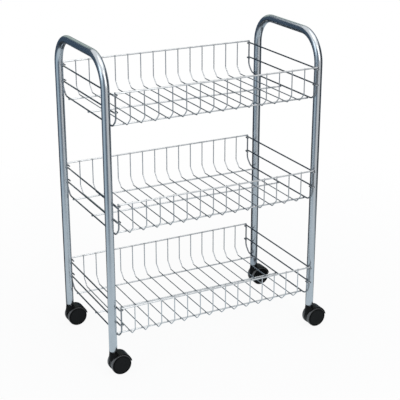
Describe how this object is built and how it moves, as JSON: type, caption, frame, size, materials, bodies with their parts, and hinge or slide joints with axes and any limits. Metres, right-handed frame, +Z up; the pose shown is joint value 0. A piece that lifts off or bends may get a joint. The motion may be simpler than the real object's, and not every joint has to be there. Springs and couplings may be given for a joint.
{
  "type": "utility cart",
  "caption": "Free-standing rolling cart with open wire baskets stacked between two bent-tube end frames, on twin-wheel swivel casters.",
  "frame": {"origin": "on the floor, midway between the four legs", "axes": "+X from the left end frame to the right one, +Y from the front to the back, +Z up"},
  "size_m": [0.4878, 0.272, 0.626],
  "materials": {
    "frame_paint": "smooth silver-grey powder coat with a soft metallic sheen",
    "chrome_wire": "bright plated steel wire, resistance welded",
    "caster_plastic": "moulded black plastic, satin",
    "wheel_plastic": "moulded black plastic, worn satin on the tread",
    "socket_plastic": "moulded black plastic",
    "stem_steel": "zinc-plated turned steel"
  },
  "bodies": {
    "cart": {"left_frame_tube": "frame_paint", "right_frame_tube": "frame_paint", "bottom_basket_cross_wires": "chrome_wire", "bottom_basket_floor_wires": "chrome_wire", "bottom_basket_front_rim": "chrome_wire", "bottom_basket_back_rim": "chrome_wire", "middle_basket_cross_wires": "chrome_wire", "middle_basket_floor_wires": "chrome_wire", "middle_basket_front_rim": "chrome_wire", "middle_basket_back_rim": "chrome_wire", "top_basket_cross_wires": "chrome_wire", "top_basket_floor_wires": "chrome_wire", "top_basket_front_rim": "chrome_wire", "top_basket_back_rim": "chrome_wire", "bottom_basket_left_end_wire": "chrome_wire", "bottom_basket_left_upper_side_wire": "chrome_wire", "bottom_basket_left_lower_side_wire": "chrome_wire", "bottom_basket_right_end_wire": "chrome_wire", "bottom_basket_right_upper_side_wire": "chrome_wire", "bottom_basket_right_lower_side_wire": "chrome_wire", "middle_basket_left_end_wire": "chrome_wire", "middle_basket_left_upper_side_wire": "chrome_wire", "middle_basket_left_lower_side_wire": "chrome_wire", "middle_basket_right_end_wire": "chrome_wire", "middle_basket_right_upper_side_wire": "chrome_wire", "middle_basket_right_lower_side_wire": "chrome_wire", "top_basket_left_end_wire": "chrome_wire", "top_basket_left_upper_side_wire": "chrome_wire", "top_basket_left_lower_side_wire": "chrome_wire", "top_basket_right_end_wire": "chrome_wire", "top_basket_right_upper_side_wire": "chrome_wire", "top_basket_right_lower_side_wire": "chrome_wire", "front_left_socket": "socket_plastic", "front_right_socket": "socket_plastic", "rear_left_socket": "socket_plastic", "rear_right_socket": "socket_plastic"},
    "front_left_caster": {"front_left_stem": "stem_steel", "front_left_caster_body": "caster_plastic", "front_left_axle": "stem_steel"},
    "front_left_outer_wheel": {"front_left_outer_wheel": "wheel_plastic"},
    "front_left_inner_wheel": {"front_left_inner_wheel": "wheel_plastic"},
    "front_right_caster": {"front_right_stem": "stem_steel", "front_right_caster_body": "caster_plastic", "front_right_axle": "stem_steel"},
    "front_right_outer_wheel": {"front_right_outer_wheel": "wheel_plastic"},
    "front_right_inner_wheel": {"front_right_inner_wheel": "wheel_plastic"},
    "rear_left_caster": {"rear_left_stem": "stem_steel", "rear_left_caster_body": "caster_plastic", "rear_left_axle": "stem_steel"},
    "rear_left_outer_wheel": {"rear_left_outer_wheel": "wheel_plastic"},
    "rear_left_inner_wheel": {"rear_left_inner_wheel": "wheel_plastic"},
    "rear_right_caster": {"rear_right_stem": "stem_steel", "rear_right_caster_body": "caster_plastic", "rear_right_axle": "stem_steel"},
    "rear_right_outer_wheel": {"rear_right_outer_wheel": "wheel_plastic"},
    "rear_right_inner_wheel": {"rear_right_inner_wheel": "wheel_plastic"}
  },
  "joints": [
    {"name": "front_left_swivel", "type": "hinge", "parent": "cart", "child": "front_left_caster", "pos_m": [-0.222, -0.1165, 0.04], "axis": [0, 0, 1], "continuous": true},
    {"name": "front_left_outer_wheel_roll", "type": "hinge", "parent": "front_left_caster", "child": "front_left_outer_wheel", "pos_m": [-0.21, -0.1165, 0.02], "axis": [0, 1, 0], "continuous": true},
    {"name": "front_left_inner_wheel_roll", "type": "hinge", "parent": "front_left_caster", "child": "front_left_inner_wheel", "pos_m": [-0.21, -0.1165, 0.02], "axis": [0, 1, 0], "continuous": true},
    {"name": "front_right_swivel", "type": "hinge", "parent": "cart", "child": "front_right_caster", "pos_m": [0.222, -0.1165, 0.04], "axis": [0, 0, 1], "continuous": true},
    {"name": "front_right_outer_wheel_roll", "type": "hinge", "parent": "front_right_caster", "child": "front_right_outer_wheel", "pos_m": [0.234, -0.1165, 0.02], "axis": [0, 1, 0], "continuous": true},
    {"name": "front_right_inner_wheel_roll", "type": "hinge", "parent": "front_right_caster", "child": "front_right_inner_wheel", "pos_m": [0.234, -0.1165, 0.02], "axis": [0, 1, 0], "continuous": true},
    {"name": "rear_left_swivel", "type": "hinge", "parent": "cart", "child": "rear_left_caster", "pos_m": [-0.222, 0.1165, 0.04], "axis": [0, 0, 1], "continuous": true},
    {"name": "rear_left_outer_wheel_roll", "type": "hinge", "parent": "rear_left_caster", "child": "rear_left_outer_wheel", "pos_m": [-0.21, 0.1165, 0.02], "axis": [0, 1, 0], "continuous": true},
    {"name": "rear_left_inner_wheel_roll", "type": "hinge", "parent": "rear_left_caster", "child": "rear_left_inner_wheel", "pos_m": [-0.21, 0.1165, 0.02], "axis": [0, 1, 0], "continuous": true},
    {"name": "rear_right_swivel", "type": "hinge", "parent": "cart", "child": "rear_right_caster", "pos_m": [0.222, 0.1165, 0.04], "axis": [0, 0, 1], "continuous": true},
    {"name": "rear_right_outer_wheel_roll", "type": "hinge", "parent": "rear_right_caster", "child": "rear_right_outer_wheel", "pos_m": [0.234, 0.1165, 0.02], "axis": [0, 1, 0], "continuous": true},
    {"name": "rear_right_inner_wheel_roll", "type": "hinge", "parent": "rear_right_caster", "child": "rear_right_inner_wheel", "pos_m": [0.234, 0.1165, 0.02], "axis": [0, 1, 0], "continuous": true}
  ]
}
